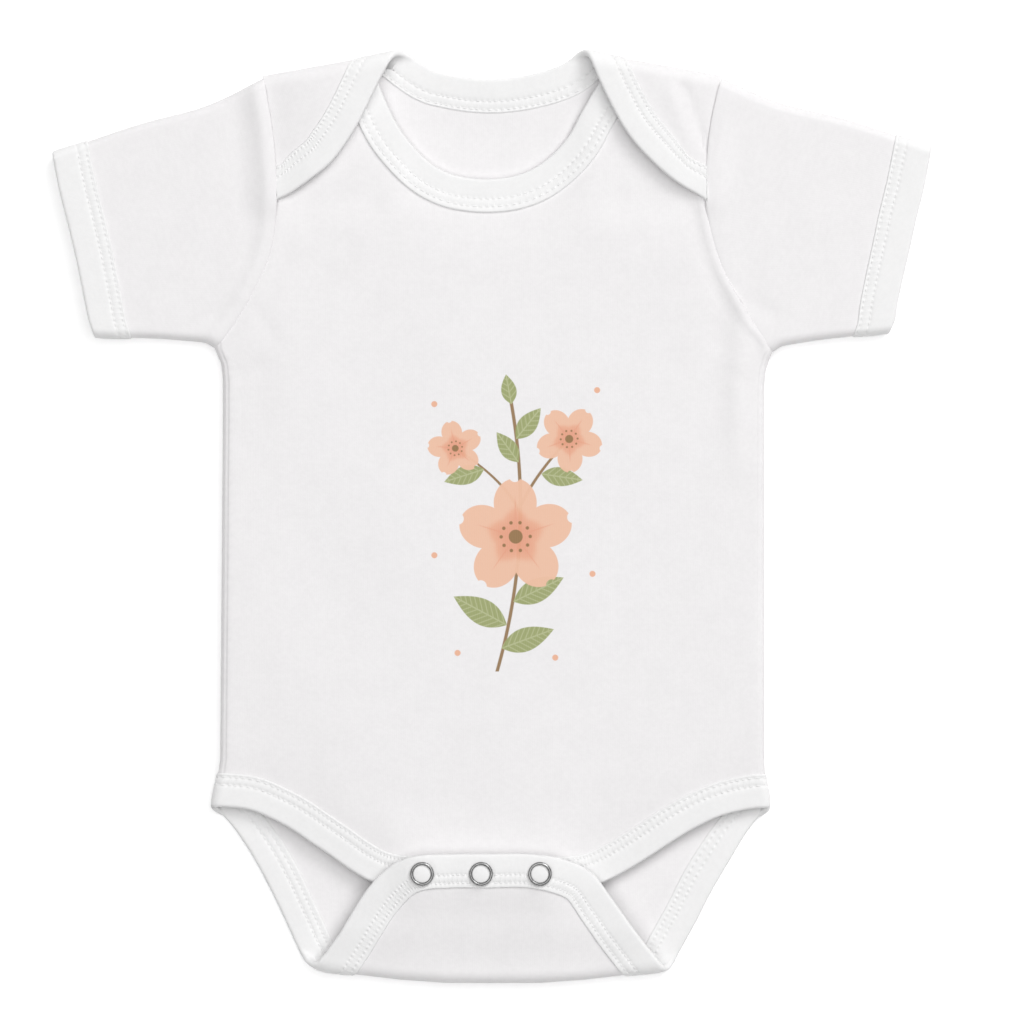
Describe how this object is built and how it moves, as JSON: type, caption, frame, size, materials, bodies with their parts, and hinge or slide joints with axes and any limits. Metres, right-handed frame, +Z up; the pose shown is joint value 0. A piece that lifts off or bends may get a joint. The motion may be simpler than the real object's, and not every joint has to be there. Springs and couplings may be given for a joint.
{
  "type": "baby bodysuit",
  "caption": "White short-sleeved baby bodysuit with envelope shoulders, bound neck and leg openings and a ring-snap crotch flap, lying flat on its back.",
  "frame": {"origin": "centre of the bounding box in plan, at the surface that the garment lies on", "axes": "+Y from crotch to neck (longest extent), +Z up through the thickness (shortest extent), +X to the viewer's right looking down on the front"},
  "size_m": [0.3771, 0.4009, 0.0176],
  "materials": {
    "jersey": "matt white cotton interlock knit",
    "rib": "matt white cotton rib, folded and stitched",
    "snap_metal": "nickel-plated pressed metal"
  },
  "bodies": {
    "root": {"back_panel": "jersey", "front_panel": "jersey", "sleeve_left": "jersey", "sleeve_right": "jersey", "sleeve_hem_left": "rib", "sleeve_hem_right": "rib", "neck_binding_back": "rib", "neck_binding_front": "rib", "leg_binding_back": "rib", "leg_binding_front": "rib", "snap_left_ring": "snap_metal", "snap_left_socket": "snap_metal", "snap_left_stud": "snap_metal", "snap_left_back_ring": "snap_metal", "snap_middle_ring": "snap_metal", "snap_middle_socket": "snap_metal", "snap_middle_stud": "snap_metal", "snap_middle_back_ring": "snap_metal", "snap_right_ring": "snap_metal", "snap_right_socket": "snap_metal", "snap_right_stud": "snap_metal", "snap_right_back_ring": "snap_metal"}
  },
  "joints": []
}
